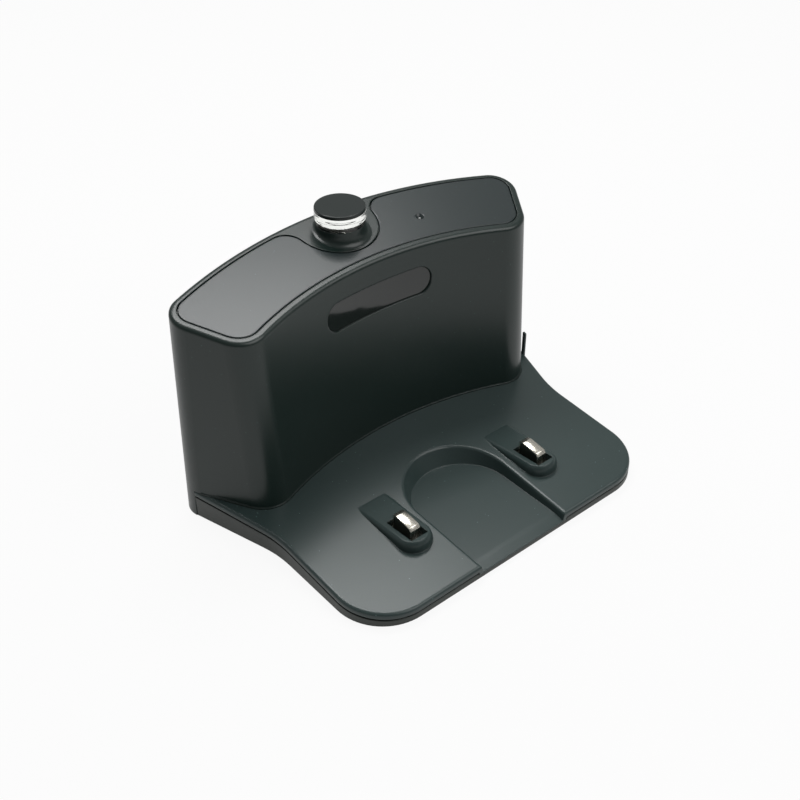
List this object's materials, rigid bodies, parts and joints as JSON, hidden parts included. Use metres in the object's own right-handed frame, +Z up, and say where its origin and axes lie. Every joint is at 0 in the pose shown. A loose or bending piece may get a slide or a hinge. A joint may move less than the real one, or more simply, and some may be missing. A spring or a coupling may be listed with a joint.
{
  "type": "robot vacuum charging dock",
  "caption": "Free-standing charging dock: sloping deck with a caster bay and sprung contacts, hollow-fronted tower with infrared window and a ring-lens beacon on top.",
  "frame": {"origin": "on the floor, in the middle of the dock's footprint", "axes": "+X to the right seen from the front, +Y towards the rear wall, +Z up"},
  "size_m": [0.2148, 0.1564, 0.1299],
  "materials": {
    "tray_plastic": "fine satin texture",
    "deck_plastic": "fine satin texture",
    "tower_plastic": "satin",
    "panel_plastic": "fine satin texture",
    "smoked_window": "polished, smoked",
    "clear_plastic": "polished, clear",
    "cap_plastic": "semi-gloss",
    "bright_reflector": "mirror",
    "circuit_board": "solder mask",
    "emitter_resin": "clear resin",
    "screw_steel": "zinc plated",
    "inlet_plastic": "moulded",
    "contact_metal": "nickel plated",
    "ballast_iron": "raw",
    "foot_rubber": "matt",
    "slider_plastic": "moulded",
    "spring_steel": "bright wire"
  },
  "bodies": {
    "dock": {"base_tray": "tray_plastic", "deck_plate": "deck_plastic", "tower_shell": "tower_plastic", "top_panel": "panel_plastic", "ir_window": "smoked_window", "light_pipe": "clear_plastic", "lens_ring": "clear_plastic", "lens_cap": "cap_plastic", "beacon_reflector": "bright_reflector", "beacon_board": "circuit_board", "beacon_emitter": "emitter_resin", "status_led": "emitter_resin", "window_board": "circuit_board", "ir_emitter_left": "emitter_resin", "ir_emitter_right": "emitter_resin", "board_screws": "screw_steel", "dc_inlet": "inlet_plastic", "inlet_pin": "contact_metal", "ballast_plate": "ballast_iron", "rubber_feet": "foot_rubber", "deck_screws": "screw_steel", "tower_screws": "screw_steel", "contact_spring_left": "spring_steel", "contact_spring_right": "spring_steel"},
    "left_contact": {"contact_left": "contact_metal", "contact_slider_left": "slider_plastic"},
    "right_contact": {"contact_right": "contact_metal", "contact_slider_right": "slider_plastic"}
  },
  "joints": [
    {"name": "left_contact_press", "type": "slide", "parent": "dock", "child": "left_contact", "axis": [0, 0, -1], "range_m": [0, 0.004], "stiffness_N_per_m": 300, "springref_m": -0.003, "deforming": ["contact_spring_left"]},
    {"name": "right_contact_press", "type": "slide", "parent": "dock", "child": "right_contact", "axis": [0, 0, -1], "range_m": [0, 0.004], "stiffness_N_per_m": 300, "springref_m": -0.003, "deforming": ["contact_spring_right"]}
  ]
}
